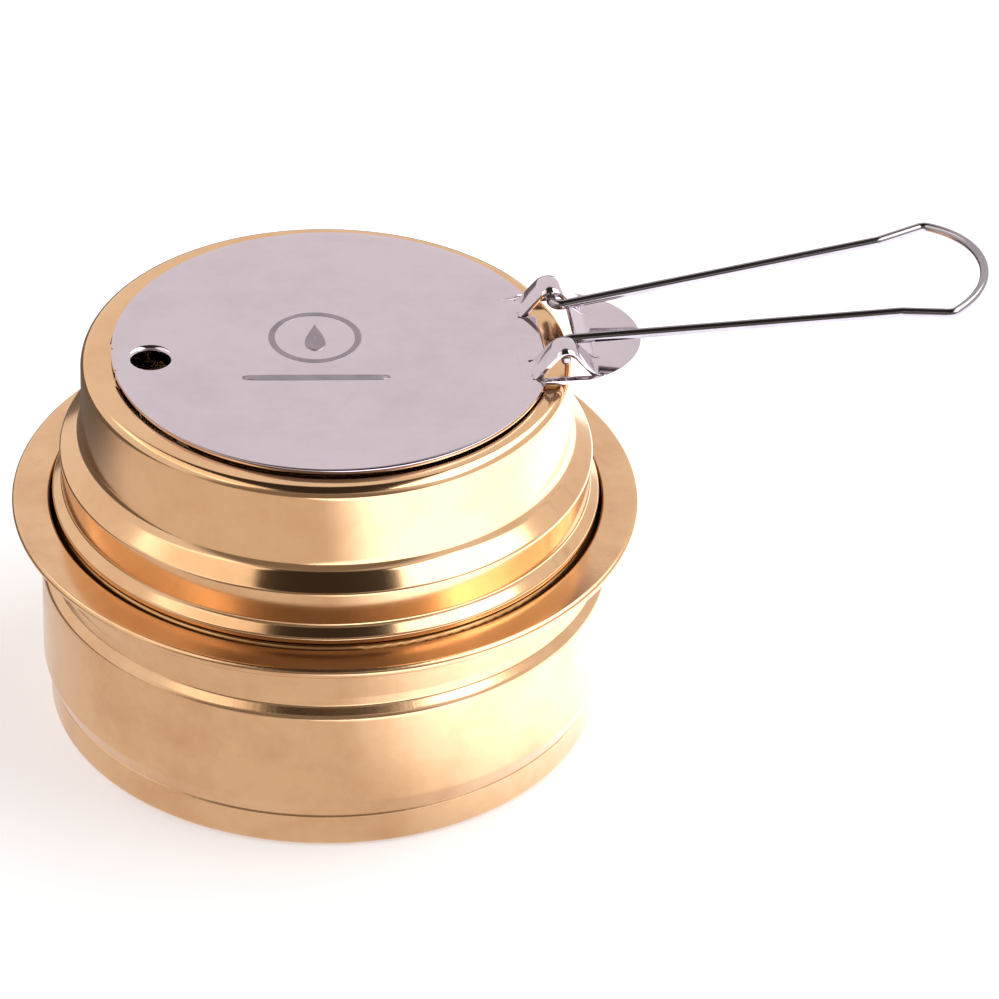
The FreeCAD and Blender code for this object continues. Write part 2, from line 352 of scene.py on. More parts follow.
def add(tree: bpy.types.NodeTree, kind: str, settings: dict, inputs: dict) -> bpy.types.Node:
    """Add a node with its settings, and fill or link its inputs.

    Args:
        tree: the node tree.
        kind: type of the node.
        settings: the node's properties by name.
        inputs: by input name or number, an output socket to link or a plain value.

    Returns:
        The node.
    """
    node = tree.nodes.new(kind)
    for key, value in settings.items():
        setattr(node, key, value)
    for key, value in inputs.items():
        if isinstance(value, bpy.types.NodeSocket):
            tree.links.new(value, node.inputs[key])
        else:
            node.inputs[key].default_value = value
    return node


def shader_of(name: str) -> tuple[bpy.types.Material, bpy.types.NodeTree, bpy.types.Node]:
    """Start a material.

    Args:
        name: the material's name.

    Returns:
        The material, its node tree and its shader.
    """
    material = bpy.data.materials.new(name)
    material.use_nodes = True
    return material, material.node_tree, material.node_tree.nodes["Principled BSDF"]


def mixed(
    tree: bpy.types.NodeTree, share: bpy.types.NodeSocket, first: Colour, second: Colour
) -> bpy.types.NodeSocket:
    """Mix two colours by a share that runs from 0 to 1."""
    mix = add(tree, "ShaderNodeMix", {"data_type": "RGBA"}, {0: share, 6: first, 7: second})
    return mix.outputs[2]


class Lay(Enum):
    """How the fine lines that a tool leaves run over a surface."""

    TURNED = "round the Z axis"
    DRAWN = "up the wall"
    ROLLED = "along the sheet's rolling direction"


@dataclass(frozen=True)
class Metal:
    """Bare metal: colour, polish, tool lines, handling haze and slow ripple. Lengths in mm."""

    name: str
    colour: str
    dull_colour: str
    roughness: float
    lay: Lay
    line_spacing: float
    line_depth: float
    haze: float = 0.06
    haze_size: float = 9.0
    ripple_depth: float = 0.0
    ripple_size: float = 14.0
    speck_depth: float = 0.0
    speck_size: float = 0.5

    def tool_lines(
        self, tree: bpy.types.NodeTree, place: bpy.types.NodeSocket
    ) -> bpy.types.NodeSocket:
        """Noise that is fine across the tool lines and long along them.

        Turned work reads 4D noise at (x/r, radius, height, y/r), so it hardly changes round
        the axis and has no seam. Drawn work reads it fast round the axis and slowly in
        height, and rolled sheet slowly along X.

        Args:
            tree: the node tree.
            place: object position in mm.

        Returns:
            The noise's value.
        """
        across = 1 / self.line_spacing
        if self.lay is Lay.ROLLED:
            squeezed = add(tree, "ShaderNodeMapping", {}, {
                "Vector": place, "Scale": (0.03 * across, across, across)})
            lines = add(tree, "ShaderNodeTexNoise", {}, {
                "Vector": squeezed.outputs["Vector"], "Scale": 1.0, "Detail": 3.0})
            return lines.outputs["Fac"]
        parts = add(tree, "ShaderNodeSeparateXYZ", {}, {"Vector": place})
        x, y, z = (parts.outputs[axis] for axis in "XYZ")
        flat = add(tree, "ShaderNodeCombineXYZ", {}, {"X": x, "Y": y})
        radius = add(tree, "ShaderNodeVectorMath", {"operation": "LENGTH"}, {0: flat.outputs[0]})
        unit = add(tree, "ShaderNodeVectorMath", {"operation": "NORMALIZE"}, {0: flat.outputs[0]})
        turns = add(tree, "ShaderNodeSeparateXYZ", {}, {"Vector": unit.outputs["Vector"]})
        round_rate, cross_rate = 34 * across, 0.05 * across
        if self.lay is Lay.TURNED:
            round_rate, cross_rate = 1.2, across
        squeezed = [
            add(tree, "ShaderNodeMath", {"operation": "MULTIPLY"}, {0: socket, 1: rate}).outputs[0]
            for socket, rate in (
                (turns.outputs["X"], round_rate), (turns.outputs["Y"], round_rate),
                (radius.outputs["Value"], cross_rate), (z, cross_rate))
        ]
        where = add(tree, "ShaderNodeCombineXYZ", {}, {
            "X": squeezed[0], "Y": squeezed[2], "Z": squeezed[3]})
        lines = add(tree, "ShaderNodeTexNoise", {"noise_dimensions": "4D"}, {
            "Vector": where.outputs[0], "W": squeezed[1], "Scale": 1.0, "Detail": 3.0})
        return lines.outputs["Fac"]

    def build(self) -> bpy.types.Material:
        """Make the material: metal shader, hazy roughness, tool lines and ripple in the bump."""
        material, tree, shader = shader_of(self.name)
        shader.inputs["Metallic"].default_value = 1.0
        centre = add(tree, "ShaderNodeTexCoord", {}, {})
        place = add(tree, "ShaderNodeMapping", {}, {
            "Vector": centre.outputs["Object"], "Scale": (1 / MM,) * 3}).outputs["Vector"]
        haze = add(tree, "ShaderNodeTexNoise", {}, {
            "Vector": place, "Scale": 1 / self.haze_size, "Detail": 6.0, "Roughness": 0.65})
        lines = self.tool_lines(tree, place)
        dulled = add(tree, "ShaderNodeMapRange", {}, {
            "Value": haze.outputs["Fac"], "From Min": 0.42, "From Max": 0.72})
        colour = mixed(tree, dulled.outputs["Result"], linear(self.colour),
                       linear(self.dull_colour))
        tree.links.new(colour, shader.inputs["Base Color"])
        spread = add(tree, "ShaderNodeMapRange", {}, {
            "Value": haze.outputs["Fac"], "From Min": 0.3, "From Max": 0.7,
            "To Min": self.roughness, "To Max": self.roughness + self.haze})
        tree.links.new(spread.outputs["Result"], shader.inputs["Roughness"])
        height = add(tree, "ShaderNodeMath", {"operation": "MULTIPLY"}, {
            0: lines, 1: self.line_depth * MM}).outputs[0]
        for depth, size, detail in (
            (self.ripple_depth, self.ripple_size, 1.5), (self.speck_depth, self.speck_size, 2.0)
        ):
            if depth:
                waves = add(tree, "ShaderNodeTexNoise", {}, {
                    "Vector": place, "Scale": 1 / size, "Detail": detail})
                height = add(tree, "ShaderNodeMath", {"operation": "MULTIPLY_ADD"}, {
                    0: waves.outputs["Fac"], 1: depth * MM, 2: height}).outputs[0]
        bump = add(tree, "ShaderNodeBump", {}, {"Height": height, "Strength": 1.0, "Distance": 1.0})
        tree.links.new(bump.outputs["Normal"], shader.inputs["Normal"])
        return material


@dataclass(frozen=True)
class Soft:
    """Rubber or cotton: matt, with one grain in colour and bump. Lengths in mm."""

    name: str
    colour: str
    dark_colour: str
    roughness: float
    grain_size: float
    grain_depth: float
    sheen: float = 0.0

    def build(self) -> bpy.types.Material:
        """Make the material from one grain that drives both its colour and its bump."""
        material, tree, shader = shader_of(self.name)
        place = add(tree, "ShaderNodeTexCoord", {}, {})
        grain = add(tree, "ShaderNodeTexNoise", {}, {
            "Vector": place.outputs["Object"], "Scale": 1 / (self.grain_size * MM),
            "Detail": 6.0, "Roughness": 0.7})
        colour = mixed(tree, grain.outputs["Fac"], linear(self.dark_colour), linear(self.colour))
        bump = add(tree, "ShaderNodeBump", {}, {
            "Height": grain.outputs["Fac"], "Strength": 1.0, "Distance": self.grain_depth * MM})
        tree.links.new(colour, shader.inputs["Base Color"])
        tree.links.new(bump.outputs["Normal"], shader.inputs["Normal"])
        shader.inputs["Roughness"].default_value = self.roughness
        shader.inputs["Sheen Weight"].default_value = self.sheen
        return material


# Brass spun over a former and buffed: clear reflections, drawn out slightly round the axis
# by faint lathe lines a quarter of a millimetre apart, with a little handling haze.
SPUN_BRASS = Metal("spun_buffed_brass", "#E3BA8D", "#D9AC7F", 0.10, Lay.TURNED,
                   line_spacing=0.26, line_depth=0.0008, haze=0.05, ripple_depth=0.010)
# Brass drawn through a die and buffed: softer reflections and fine scores up the wall,
# with the faint pitting of stretched sheet.
DRAWN_BRASS = Metal("drawn_buffed_brass", "#E2BA8E", "#D4A77C", 0.15, Lay.DRAWN,
                    line_spacing=0.9, line_depth=0.012, haze=0.07, ripple_depth=0.012,
                    speck_depth=0.002)
# Brass left as pressed, inside the burner: satin, warmer, with uneven tarnish.
SATIN_BRASS = Metal("pressed_satin_brass", "#DDB077", "#BE8B52", 0.28, Lay.TURNED,
                    line_spacing=0.35, line_depth=0.002, haze=0.14, haze_size=6.0)
# Brass turned from bar: even fine rings from the tool.
TURNED_BRASS = Metal("turned_brass", "#E8C088", "#D9AA6C", 0.18, Lay.TURNED,
                     line_spacing=0.2, line_depth=0.002, haze=0.08)
# Stainless sheet polished on one side: a near mirror with slow waves and very fine lines.
POLISHED_STEEL = Metal("polished_stainless_sheet", "#CFC3C8", "#C6BABF", 0.05, Lay.ROLLED,
                       line_spacing=0.3, line_depth=0.0001, haze=0.05, ripple_depth=0.006,
                       ripple_size=8.0)
# Bright drawn stainless wire: a clear highlight with drag lines along it.
DRAWN_WIRE = Metal("bright_drawn_stainless_wire", "#A29C9F", "#8F898C", 0.10, Lay.ROLLED,
                   line_spacing=0.2, line_depth=0.0012, haze=0.06)
# Hard rolled spring strip: even, slightly grey.
SPRING_STRIP = Metal("rolled_spring_strip", "#BDBBBC", "#A8A6A8", 0.22, Lay.TURNED,
                     line_spacing=0.3, line_depth=0.002)
# Steel dulled by etching: matt and darker beside the polish round it.
ETCHED_STEEL = Metal("etched_stainless", "#A0969C", "#8F868C", 0.36, Lay.ROLLED,
                     line_spacing=0.25, line_depth=0.003, haze=0.1, haze_size=3.0)
# Moulded nitrile rubber: black with a faint bloom.
SEAL_RUBBER = Soft("moulded_nitrile_rubber", "#262524", "#151514", 0.55, 0.3, 0.01)
# Packed cotton: off-white tufts that catch light at their edges.
WICK_COTTON = Soft("packed_cotton", "#EAE3D2", "#B8AD94", 0.95, 0.5, 0.25, sheen=0.4)


# ---------------------------------------------------------------- pieces


def corners_of(node: str) -> tuple[np.ndarray, np.ndarray]:
    """Lowest and highest corners of a CAD node, in mm."""
    low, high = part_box(node)
    return np.array(low) / MM, np.array(high) / MM


def welded(surface: Surface, closed: bool, name: str) -> bpy.types.Mesh:
    """Mesh of a surface with its doubles merged and its faces pointing outwards.

    A closed surface has its normals recalculated. An open sheet keeps its faces as they
    were made, with their front on top.

    Args:
        surface: vertices in mm and faces.
        closed: whether the surface encloses a volume.
        name: the mesh's name.

    Returns:
        The mesh, in metres and shaded smooth except at sharp edges.
    """
    mesh = bpy.data.meshes.new(name)
    faces = [tuple(face) for block in surface.faces for face in block.tolist()]
    mesh.from_pydata(surface.points * MM, [], faces)
    tidy = bmesh.new()
    tidy.from_mesh(mesh)
    bmesh.ops.remove_doubles(tidy, verts=tidy.verts, dist=MERGE_DISTANCE * MM)
    bmesh.ops.dissolve_degenerate(tidy, edges=tidy.edges, dist=COLLAPSE_DISTANCE * MM)
    if closed:
        bmesh.ops.recalc_face_normals(tidy, faces=tidy.faces)
    tidy.to_mesh(mesh)
    tidy.free()
    mesh.polygons.foreach_set("use_smooth", np.ones(len(mesh.polygons), bool))
    mesh.set_sharp_from_angle(angle=SHARP_ANGLE)
    return mesh


def material_of(finish: Metal | Soft) -> bpy.types.Material:
    """The finish's material, made once and then shared."""
    return bpy.data.materials.get(finish.name) or finish.build()


@dataclass
class Piece:
    """One visible piece: what it rides, what it stands for and how it is finished."""

    name: str
    body: str
    slot: str
    finish: Metal | Soft
    stands_for: tuple[str, ...] = ()

    def make(
        self, surface: Surface, closed: bool = True, thickness: float = 0, edge: float = 0
    ) -> bpy.types.Object:
        """Make the object of a surface and hang it on its body.

        Args:
            surface: vertices in mm and faces.
            closed: whether the surface encloses a volume.
            thickness: of an open sheet, down from its front, in mm.
            edge: width of the rounding along the sheet's edges, in mm.

        Returns:
            The object, at the origin.
        """
        mesh = welded(surface, closed, self.name)
        mesh.materials.append(material_of(self.finish))
        piece = bpy.data.objects.new(self.name, mesh)
        bpy.context.scene.collection.objects.link(piece)
        if thickness:
            solid = piece.modifiers.new("Sheet", "SOLIDIFY")
            solid.thickness = thickness * MM
            solid.offset = -1
            solid.use_even_offset = True
        if edge:
            bevel = piece.modifiers.new("Edge", "BEVEL")
            bevel.width = edge * MM
            bevel.segments = 2
            bevel.limit_method = "ANGLE"
            bevel.angle_limit = EDGE_ANGLE
        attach(piece, self.body)
        if self.stands_for:
            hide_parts(*self.stands_for)
        LOG.info("%s: %d faces on %s", self.name, len(mesh.polygons), self.body)
        return piece


def dress(node: bpy.types.Object, finish: Metal | Soft) -> None:
    """Give a CAD node a finish in place of its plain one.

    Args:
        node: the CAD node's object.
        finish: the finish.
    """
    node.data.materials.clear()
    node.data.materials.append(material_of(finish))
    LOG.info("%s: dressed in %s", node.name, finish.name)


@dataclass
class Burner:
    """Burner: drawn cup with a hemmed flange, inner crown with jets, inner wall and wick."""

    sheet: float = 0.6
    crease: float = 0.3
    bend: float = 0.5
    flange_width: float = 3.5
    flange_thickness: float = 1.2
    foot_inset: float = 0.9
    foot_height: float = 4.7
    foot_corner: float = 1.0
    foot_sweep: float = 2.3
    groove: float = 0.16
    out_of_round: float = 0.02
    shoulder_height: float = 19.4
    shoulder_rise: float = 1.1
    shoulder_bend: float = 1.1
    neck_inset: float = 1.1
    neck_straight: float = 1.2
    mouth_flare: float = 0.9
    mouth_lip: float = -0.35
    mouth_bend: float = 0.35
    neck_flare: float = 1.3
    wick_corner: float = 1.6

    def cup_line(self) -> np.ndarray:
        """Outline of the cup, from the middle of its base up outside and back down inside.

        Returns:
            Radii and heights, in mm.
        """
        top, rim = (float(value) for value in corners_of("fuel_cup")[1][[2, 0]])
        wall = rim - self.flange_width
        foot, neck = wall - self.foot_inset, wall - self.neck_inset
        shoulder_top = self.shoulder_height + self.shoulder_rise
        under = top - self.flange_thickness
        hem, edge = 0.49 * self.flange_thickness, rim - self.out_of_round
        outside = [
            (0, 0, 0),
            (foot, 0, self.foot_corner),
            (foot, self.foot_height - 0.35, 0.15),
            (foot - self.groove, self.foot_height - 0.1, 0.06),
            (foot + 0.15, self.foot_height + 0.12, 0.2),
            (wall, self.foot_height + self.foot_sweep, 1.6),
            (wall, self.shoulder_height, self.shoulder_bend),
            (neck, shoulder_top, self.bend),
            (neck, shoulder_top + self.neck_straight, 2 * self.bend),
            (neck + self.mouth_flare, under, self.neck_flare),
        ]
        flange = [
            (edge, under, hem),
            (edge, top, hem),
            (neck - self.sheet + self.mouth_flare + self.mouth_lip, top, self.mouth_bend),
        ]
        inside = offset_corners(outside, self.sheet)
        return rounded_line(outside + flange + inside[::-1], closed=False, step=1.0)

    def wick_line(self) -> np.ndarray:
        """Outline of the wick's ring, with soft corners.

        Returns:
            Radii and heights, in mm.
        """
        low, high = corners_of("wick")
        inner = float(corners_of("inner_wall")[1][0]) + 1.0
        outer, bottom, top = float(high[0]), float(low[2]), float(high[2])
        corners = [(outer, bottom), (outer, top), (inner, top), (inner, bottom)]
        rounded = [(a, b, self.wick_corner) for a, b in corners]
        return rounded_line(rounded, closed=True, step=1.0, turn_step=15.0)

    def build(self, nodes: dict[str, bpy.types.Object]) -> None:
        """Make the cup and wick, and dress the crown and inner wall.

        Args:
            nodes: the CAD nodes by name.
        """
        cup = revolved(self.cup_line(), closed=False, waviness=Waviness(self.out_of_round, seed=4))
        Piece("burner_cup", "burner", "cup_brass", DRAWN_BRASS, ("fuel_cup",)).make(cup)
        tufts = Waviness(0.3, (7, 11, 17, 26, 41), seed=9)
        wick = revolved(self.wick_line(), 240, waviness=tufts)
        Piece("wick_ring", "burner", "wick_cotton", WICK_COTTON, ("wick",)).make(wick)
        dress(nodes["burner_crown"], SATIN_BRASS)
        dress(nodes["inner_wall"], SATIN_BRASS)


@dataclass
class ScrewCap:
    """Turned brass screw cap with a knurled rim, and the rubber ring under it."""

    rim_inset: float = 3.3
    play: float = 0.08
    edge: float = 0.8
    wall: float = 0.7
    rim_height: float = 3.0
    knurls: int = 60
    knurl_depth: float = 0.22
    pitch: float = 1.8
    thread_depth: float = 0.3
    dish_inset: float = 4.5
    dish_depth: float = 0.35
    fade: float = 0.25
    thread_fade: float = 0.5
    flat_thinning: int = 12

    def line(self) -> np.ndarray:
        """Outline of the cap, from the middle of its underside out, up the rim and back in.

        Returns:
            Radii and heights, in mm.
        """
        low, high = corners_of("screw_cap")
        top, bottom, rim = float(high[2]), float(low[2]), float(high[0])
        skirt = rim - self.rim_inset - self.play
        bore, under = skirt - self.wall, top - self.rim_height
        dish = rim - self.dish_inset
        line = rounded_line([
            (0, top - self.wall - self.dish_depth, 0),
            (bore, top - self.wall - self.dish_depth, 0.5),
            (bore, bottom, 0.15),
            (skirt, bottom, 0.25),
            (skirt, under, 0.15),
            (rim, under, 0.3),
            (rim, top, self.edge),
            (dish + 1.0, top, 0.8),
            (dish, top - self.dish_depth, 0.8),
            (0, top - self.dish_depth, 0),
        ], closed=False, step=0.28, turn_step=15.0)
        order = np.arange(len(line))
        kept = (order % self.flat_thinning == 0) | (order == len(line) - 1)
        return line[(line[:, 0] > dish - 1.5) | kept]

    def relief(self, turn: np.ndarray, radius: np.ndarray, height: np.ndarray) -> np.ndarray:
        """Knurl round the rim and thread round the skirt, cut into the turned shape.

        The knurl is a cosine round the rim that fades out at its edges. The thread is a wave
        of one turn per pitch that fades out at the skirt's ends.

        Args:
            turn: angle round Z.
            radius: radius before cutting, in mm.
            height: height, in mm.

        Returns:
            Change of the radius, in mm, never outwards.
        """
        low, high = corners_of("screw_cap")
        rim, under = high[0], high[2] - self.rim_height
        skirt = rim - self.rim_inset - self.play
        on_rim = np.clip((radius - (rim - 0.06)) / 0.05, 0, 1)
        above = np.clip((height - under - 0.45) / self.fade, 0, 1)
        below = np.clip((high[2] - 0.95 - height) / self.fade, 0, 1)
        ends = above * below
        knurl = 0.5 - 0.5 * np.cos(self.knurls * turn)
        on_skirt = np.clip(1 - np.abs(radius - skirt) / 0.05, 0, 1)
        run_in = np.clip((height - low[2] - 0.3) / self.thread_fade, 0, 1)
        run = run_in * np.clip((under - 0.5 - height) / self.thread_fade, 0, 1)
        wave = 0.5 - 0.5 * np.cos(2 * math.pi * height / self.pitch - turn)
        return -self.knurl_depth * on_rim * ends * knurl - self.thread_depth * on_skirt * run * wave

    def build(self) -> None:
        """Make the cap and its seal."""
        cap = revolved(self.line(), 420, closed=False, relief=self.relief)
        Piece("screw_cap_turned", "cap", "cap_brass", TURNED_BRASS, ("screw_cap",)).make(cap)
        low, high = corners_of("cap_seal")
        radius = (high[2] - low[2]) / 2
        turn = np.linspace(0, 2 * math.pi, 24, endpoint=False)
        ring = np.column_stack([high[0] - radius + radius * np.cos(turn),
                                low[2] + radius + radius * np.sin(turn)])
        seal = revolved(ring, 192)
        Piece("cap_seal_ring", "seal", "seal_rubber", SEAL_RUBBER, ("cap_seal",)).make(seal)


def between_loops(inner: np.ndarray, outer: np.ndarray, shares: np.ndarray) -> np.ndarray:
    """Loops of points that go evenly from an inner loop to an outer one.

    Args:
        inner: (n, 3) points.
        outer: (n, 3) points, each joined to the inner point of its number.
        shares: how far towards the outer loop each new loop lies, from 0 to 1.

    Returns:
        (len(shares), n, 3) points.
    """
    return inner[None] + (outer - inner)[None] * shares[:, None, None]


@dataclass
class Regulator:
    """Spun flame regulator: rim, flare, wall, waist, band and top, with the lid's tongue."""

    sheet: float = 0.6
    bend: float = 0.5
    soft_bend: float = 0.7
    rim_hem: float = 1.2
    rim_height: float = 1.25
    rim_flare: float = 1.1
    rim_step: float = 1.25
    foot_bend: float = 0.7
    wall_height: float = 4.6
    wall_lean: float = 0.35
    crest_bend: float = 0.55
    waist_inset: float = 2.7
    waist_rise: float = 2.1
    waist_bend: float = 1.9
    top_corner: float = 1.3
    opening_inset: float = 3.9
    lip_depth: float = 1.0
    pivot_x: float = -21.15
    hole_radius: float = 2.88
    tongue_margin: float = 1.9
    tongue_reach: float = 6.2

    def line(self) -> np.ndarray:
        """Closed outline of the ring's sheet.

        Returns:
            Radii and heights, in mm.
        """
        low, high = corners_of("regulator_ring")
        rim, bottom, top = float(high[0]), float(low[2]), float(high[2])
        wall = rim - self.rim_step
        crest = wall + self.wall_lean
        band = crest - self.waist_inset
        opening = band - self.opening_inset
        step_top = bottom + self.rim_height + self.rim_flare
        crest_height = step_top + self.wall_height
        return rounded_line(sheet_outline([
            (rim - self.rim_hem, bottom, 0),
            (rim, bottom, self.soft_bend),
            (rim, bottom + self.rim_height, self.bend),
            (wall, step_top, self.foot_bend),
            (crest, crest_height, self.crest_bend),
            (band, crest_height + self.waist_rise, self.waist_bend),
            (band, top, self.top_corner),
            (opening, top, self.soft_bend),
            (opening, top - self.lip_depth, 0),
        ], self.sheet), closed=True, step=0.5)

    def tongue(self) -> Surface:
        """Flat tongue with a round end and the pivot's hole, as rays out from the hole.

        Returns:
            Its top sheet.
        """
        top = float(corners_of("regulator_ring")[1][2]) - 0.004
        half = self.hole_radius + self.tongue_margin
        root = self.pivot_x - self.tongue_reach
        straight = np.linspace(root, self.pivot_x, 16)
        end = np.linspace(-math.pi / 2, math.pi / 2, 49)[1:-1]
        side = np.linspace(half, -half, 24)[1:-1]
        x = np.concatenate([straight, self.pivot_x + half * np.cos(end), straight[::-1],
                            np.full(len(side), root)])
        y = np.concatenate([np.full(16, -half), half * np.sin(end), np.full(16, half), side])
        turn = np.arctan2(y, x - self.pivot_x)
        outer = np.column_stack([x, y, np.full(len(x), top)])
        inner = np.column_stack([self.pivot_x + self.hole_radius * np.cos(turn),
                                 self.hole_radius * np.sin(turn), np.full(len(x), top)])
        return loft(between_loops(inner, outer, np.linspace(0, 1, 8)), False, True).upwards()

    def build(self) -> None:
        """Make the ring and its tongue."""
        ring = revolved(self.line(), waviness=Waviness(0.014, seed=2))
        Piece("regulator_spun", "regulator", "regulator_brass", SPUN_BRASS,
              ("regulator_ring",)).make(ring)
        Piece("regulator_tongue", "regulator", "regulator_brass", SPUN_BRASS).make(
            self.tongue(), closed=False, thickness=self.sheet, edge=0.12)


@dataclass
class Lid:
    """Pressed steel lid: disc, drawn pivot collar, tab with two bridges and a rest ridge."""

    sheet: float = 0.5
    offset: float = 0.6
    disc_radius: float = 26.4
    pivot_x: float = -21.15
    hole_radius: float = 2.3
    draw: float = 0.6
    flare_width: float = 1.4
    half_width: float = 9.75
    nose_radius: float = 10.15
    hinge_x: float = 27.7
    reach: tuple[float, float] = (5.3, 4.5)
    bridge_inner: float = 5.0
    bridge_outer: float = 8.85
    bridge_half_span: float = 3.7
    bridge_rise: float = 3.45
    crest_radius: float = 1.9
    root_radius: float = 0.8
    crown: float = 0.28
    dimple_depth: float = 0.16
    dimple_size: float = 1.0
    window: tuple[float, float] = (25.8, 29.7)
    ridge_rise: float = 1.48
    ridge_length: float = 1.9
    ridge_bend: float = 1.0
    ridge_gap: float = 0.1
    notch_spread: float = 2.4
    notch_depth: float = 0.3
    notch_width: float = 0.45
    seat: float = 0.35
    mark_thickness: float = 0.02
    edge: float = 0.1

    def __post_init__(self) -> None:
        """Work out the heights and the grid along X from the CAD box."""
        low, high = corners_of("lid_plate")
        self.tip = float(high[0])
        self.flare_bottom = float(low[2])
        self.top = float(corners_of("regulator_ring")[1][2]) + self.seat + self.sheet
        self.start, self.stop = self.hinge_x - self.reach[0], self.hinge_x + self.reach[1]
        marks = [self.start, self.root_x(), *self.window, self.stop]
        parts = [np.linspace(a, b, max(2, round((b - a) / 0.12)) + 1)[:-1]
                 for a, b in zip(marks, marks[1:])]
        self.along = np.append(np.concatenate(parts), self.stop)

    def root_x(self) -> float:
        """Where the disc's edge meets the straight side of the tab."""
        return self.offset + math.sqrt(self.disc_radius**2 - self.half_width**2)

    def tab_edge(self, x: np.ndarray) -> np.ndarray:
        """Half width of the tab: a slanted start, a straight side, then the nose's circle.

        Args:
            x: places along the tab.

        Returns:
            The half width there, in mm.
        """
        slanted = self.bridge_outer + (self.half_width - self.bridge_outer) * np.clip(
            (x - self.start) / (self.root_x() - self.start), 0, 1)
        nose = np.sqrt(np.maximum(self.nose_radius**2 - (x - self.tip + self.nose_radius) ** 2, 0))
        return np.where(x > self.tip - self.nose_radius, np.minimum(slanted, nose), slanted)

    def arch(self, x: np.ndarray) -> np.ndarray:
        """Height of a bridge over the tab: straight flanks, a round crest and round roots.

        Args:
            x: places along the tab.

        Returns:
            The height there, in mm.
        """
        run = self.bridge_half_span - self.crest_radius / 2
        slope = math.atan2(self.bridge_rise, run)
        crest = self.bridge_rise + self.crest_radius * (1 / math.cos(slope) - 1)
        line = rounded_line([
            (-self.reach[0], 0, 0), (-self.bridge_half_span, 0, self.root_radius),
            (0, crest, self.crest_radius), (self.bridge_half_span, 0, self.root_radius),
            (self.reach[1], 0, 0)], closed=False, step=0.1)
        return np.interp(x - self.hinge_x, line[:, 0], line[:, 1])

    def sheet_at(self, x: np.ndarray, y: np.ndarray, height: np.ndarray) -> Surface:
        """Grid of points at the given heights over the tab, front side up."""
        points = np.stack([x, y, self.top + height + self.dimples(x, y)], 2)
        return loft(points, False, False).upwards()

    def dimples(self, x: np.ndarray, y: np.ndarray) -> np.ndarray:
        """Dents that lancing pulls in at the disc's end of each bridge's two cuts.

        Each is a round bell of the dimple's depth and size, centred where a cut ends.

        Args:
            x: places along the tab.
            y: places across it.

        Returns:
            Height of the sheet there, zero or below.
        """
        end = self.hinge_x - self.bridge_half_span - 0.15
        total = np.zeros(np.broadcast(x, y).shape)
        for cut in (self.bridge_inner, self.bridge_outer):
            away = (x - end) ** 2 + (np.abs(y) - cut) ** 2
            total = total - self.dimple_depth * np.exp(-away / self.dimple_size**2)
        return total

    def bridge(self, side: float) -> Surface:
        """One bridge, across which the arch falls away towards both edges.

        Args:
            side: 1 for the bridge at +Y, -1 for the other.

        Returns:
            Its sheet from the tab's start to the nose.
        """
        share = np.linspace(-1, 1, 15)
        middle = (self.bridge_inner + self.bridge_outer) / 2
        half = (self.bridge_outer - self.bridge_inner) / 2
        x, s = np.meshgrid(self.along, share, indexing="ij")
        height = self.arch(x)
        lifted = np.clip(height / self.bridge_rise, 0, 1)
        height = height - self.crown * lifted * np.abs(s) ** 3
        return self.sheet_at(x, side * (middle + half * s), height)

    def strip(self, side: float) -> Surface:
        """Flat edge of the tab outside a bridge.

        Args:
            side: 1 for the edge at +Y, -1 for the other.

        Returns:
            Its sheet.
        """
        x, s = np.meshgrid(self.along, np.linspace(0, 1, 4), indexing="ij")
        y = self.bridge_outer + s * (self.tab_edge(x) - self.bridge_outer)
        return self.sheet_at(x, side * y, np.zeros_like(x))

    def before_window(self) -> Surface:
        """Flat between the bridges, from the tab's start to the window.

        Returns:
            Its sheet.
        """
        x = self.along[self.along <= self.window[0] + 1e-6]
        x, y = np.meshgrid(x, np.linspace(-1, 1, 21) * self.bridge_inner, indexing="ij")
        return self.sheet_at(x, y, np.zeros_like(x))

    def ridge(self) -> Surface:
        """Ramp up to the ridge that the folded handle rests on, and the flat beyond it.

        The ramp is straight from the ridge to a round bend, and is narrower than the gap
        between the bridges by a hair at each side until it is flat.

        Returns:
            Its sheet.
        """
        x = self.along[self.along >= self.window[1] - 1e-6]
        line = rounded_line([
            (self.window[1], self.ridge_rise, 0),
            (self.window[1] + self.ridge_length, 0, self.ridge_bend),
            (self.stop + 1, 0, 0)], closed=False, step=0.1)
        height = np.interp(x, line[:, 0], line[:, 1])
        free = np.clip(height / 0.05, 0, 1)
        width = self.bridge_inner - self.ridge_gap * free
        y = width[:, None] * np.linspace(-1, 1, 21)[None, :]
        return self.sheet_at(np.broadcast_to(x[:, None], y.shape), y,
                             np.broadcast_to(height[:, None], y.shape))

    def across(self) -> np.ndarray:
        """Places across the tab at its start and end, shared by the sheets that meet there.

        Returns:
            The places, in mm, from -Y to +Y.
        """
        middle = np.linspace(-1, 1, 21) * self.bridge_inner
        centre = (self.bridge_inner + self.bridge_outer) / 2
        half = (self.bridge_outer - self.bridge_inner) / 2
        side = centre + half * np.linspace(-1, 1, 15)
        return np.concatenate([-side[:0:-1], middle, side[1:]])

    def nose(self) -> Surface:
        """Half-moon end of the tab, from the line across its end to the nose's circle.

        Returns:
            Its sheet.
        """
        y = self.across()
        far = np.sqrt(np.maximum(self.nose_radius**2 - y**2, 0)) + self.tip - self.nose_radius
        far = np.maximum(far, self.stop)
        s = np.linspace(0, 1, 14)[:, None]
        x = self.stop + s * (far - self.stop)[None, :]
        return self.sheet_at(x, np.broadcast_to(y, x.shape), np.zeros_like(x))

